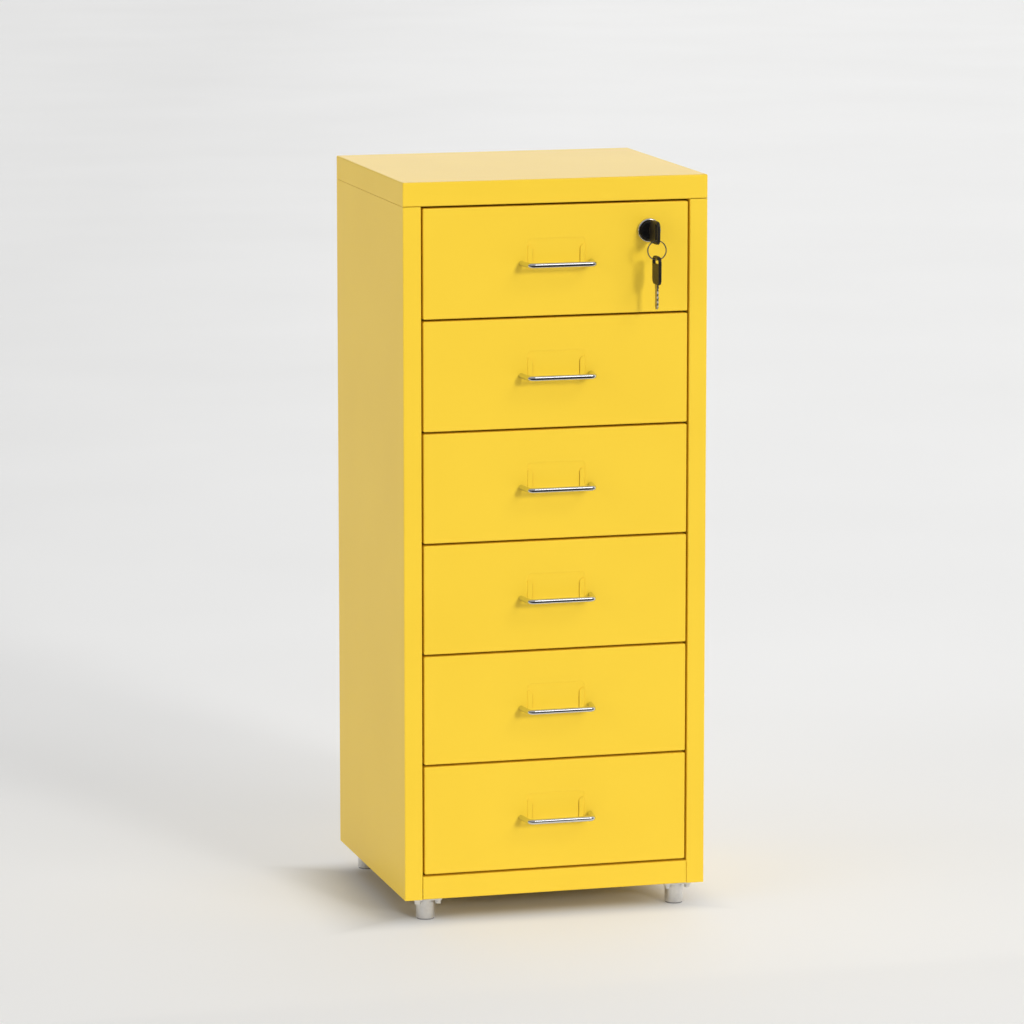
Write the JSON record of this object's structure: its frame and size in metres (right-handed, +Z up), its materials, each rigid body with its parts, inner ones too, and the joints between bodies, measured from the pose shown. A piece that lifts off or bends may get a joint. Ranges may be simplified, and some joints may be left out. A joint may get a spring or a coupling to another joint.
{
  "type": "metal drawer cabinet",
  "caption": "Narrow upright powder-coated sheet steel cabinet of equal shallow drawers with bar handles, card holders, a key lock in the top drawer and short round feet.",
  "frame": {"origin": "on the floor, halfway across the cabinet and halfway between its foremost and rearmost points", "axes": "+X to the right seen from the front, +Y from front to back, +Z up"},
  "size_m": [0.28, 0.288, 0.667],
  "materials": {
    "powder_coat": "semi-gloss powder coat",
    "zinc_steel": "zinc plated, satin",
    "chrome": "polished",
    "dark_plug": "black, satin",
    "black_plastic": "smooth black",
    "nickel": "nickel plated, satin",
    "pad_plastic": "matt grey"
  },
  "bodies": {
    "cabinet": {"left_side_panel": "powder_coat", "right_side_panel": "powder_coat", "top_panel": "powder_coat", "bottom_panel": "powder_coat", "back_panel": "powder_coat", "back_screws": "zinc_steel", "left_runners": "zinc_steel", "right_runners": "zinc_steel", "lock_strike": "powder_coat", "foot_nuts": "zinc_steel", "foot_screws": "zinc_steel", "foot_front_left": "zinc_steel", "foot_plate_front_left": "zinc_steel", "foot_pad_front_left": "pad_plastic", "foot_front_right": "zinc_steel", "foot_plate_front_right": "zinc_steel", "foot_pad_front_right": "pad_plastic", "foot_rear_left": "zinc_steel", "foot_plate_rear_left": "zinc_steel", "foot_pad_rear_left": "pad_plastic", "foot_rear_right": "zinc_steel", "foot_plate_rear_right": "zinc_steel", "foot_pad_rear_right": "pad_plastic"},
    "drawer_1": {"drawer_1_front": "powder_coat", "drawer_1_tray": "powder_coat", "drawer_1_handle": "chrome", "drawer_1_handle_screws": "zinc_steel", "lock_barrel": "chrome", "lock_nut": "zinc_steel"},
    "drawer_2": {"drawer_2_front": "powder_coat", "drawer_2_tray": "powder_coat", "drawer_2_handle": "chrome", "drawer_2_handle_screws": "zinc_steel"},
    "drawer_3": {"drawer_3_front": "powder_coat", "drawer_3_tray": "powder_coat", "drawer_3_handle": "chrome", "drawer_3_handle_screws": "zinc_steel"},
    "drawer_4": {"drawer_4_front": "powder_coat", "drawer_4_tray": "powder_coat", "drawer_4_handle": "chrome", "drawer_4_handle_screws": "zinc_steel"},
    "drawer_5": {"drawer_5_front": "powder_coat", "drawer_5_tray": "powder_coat", "drawer_5_handle": "chrome", "drawer_5_handle_screws": "zinc_steel"},
    "drawer_6": {"drawer_6_front": "powder_coat", "drawer_6_tray": "powder_coat", "drawer_6_handle": "chrome", "drawer_6_handle_screws": "zinc_steel"},
    "lock_core": {"lock_plug": "dark_plug", "lock_cam": "zinc_steel", "lock_cam_screw": "zinc_steel"},
    "key": {"key_blade": "nickel", "key_head": "black_plastic"},
    "key_ring_body": {"key_ring": "nickel"},
    "spare_key": {"spare_key_blade": "nickel", "spare_key_head": "black_plastic"}
  },
  "joints": [
    {"name": "drawer_1_slide", "type": "slide", "parent": "cabinet", "child": "drawer_1", "axis": [0, -1, 0], "range_m": [0, 0.2087]},
    {"name": "drawer_2_slide", "type": "slide", "parent": "cabinet", "child": "drawer_2", "axis": [0, -1, 0], "range_m": [0, 0.2087]},
    {"name": "drawer_3_slide", "type": "slide", "parent": "cabinet", "child": "drawer_3", "axis": [0, -1, 0], "range_m": [0, 0.2087]},
    {"name": "drawer_4_slide", "type": "slide", "parent": "cabinet", "child": "drawer_4", "axis": [0, -1, 0], "range_m": [0, 0.2087]},
    {"name": "drawer_5_slide", "type": "slide", "parent": "cabinet", "child": "drawer_5", "axis": [0, -1, 0], "range_m": [0, 0.2087]},
    {"name": "drawer_6_slide", "type": "slide", "parent": "cabinet", "child": "drawer_6", "axis": [0, -1, 0], "range_m": [0, 0.2087]},
    {"name": "lock_turn", "type": "hinge", "parent": "drawer_1", "child": "lock_core", "pos_m": [0.0852, -0.10805, 0.6188], "axis": [0, 1, 0], "range_deg": [0, 90]},
    {"name": "key_pull", "type": "slide", "parent": "lock_core", "child": "key", "axis": [0, -1, 0], "range_m": [0, 0.0201]},
    {"name": "ring_hang", "type": "hinge", "parent": "key", "child": "key_ring_body", "pos_m": [0.0851, -0.13365, 0.60965], "axis": [0, 1, 0], "range_deg": [-90, 0]},
    {"name": "spare_key_swing", "type": "hinge", "parent": "key_ring_body", "child": "spare_key", "pos_m": [0.0852, -0.13365, 0.5949], "axis": [1, 0, 0], "range_deg": [-70, 28]}
  ],
  "couplings": [
    {"joint": "ring_hang", "follows": "lock_turn", "ratio": -1}
  ]
}
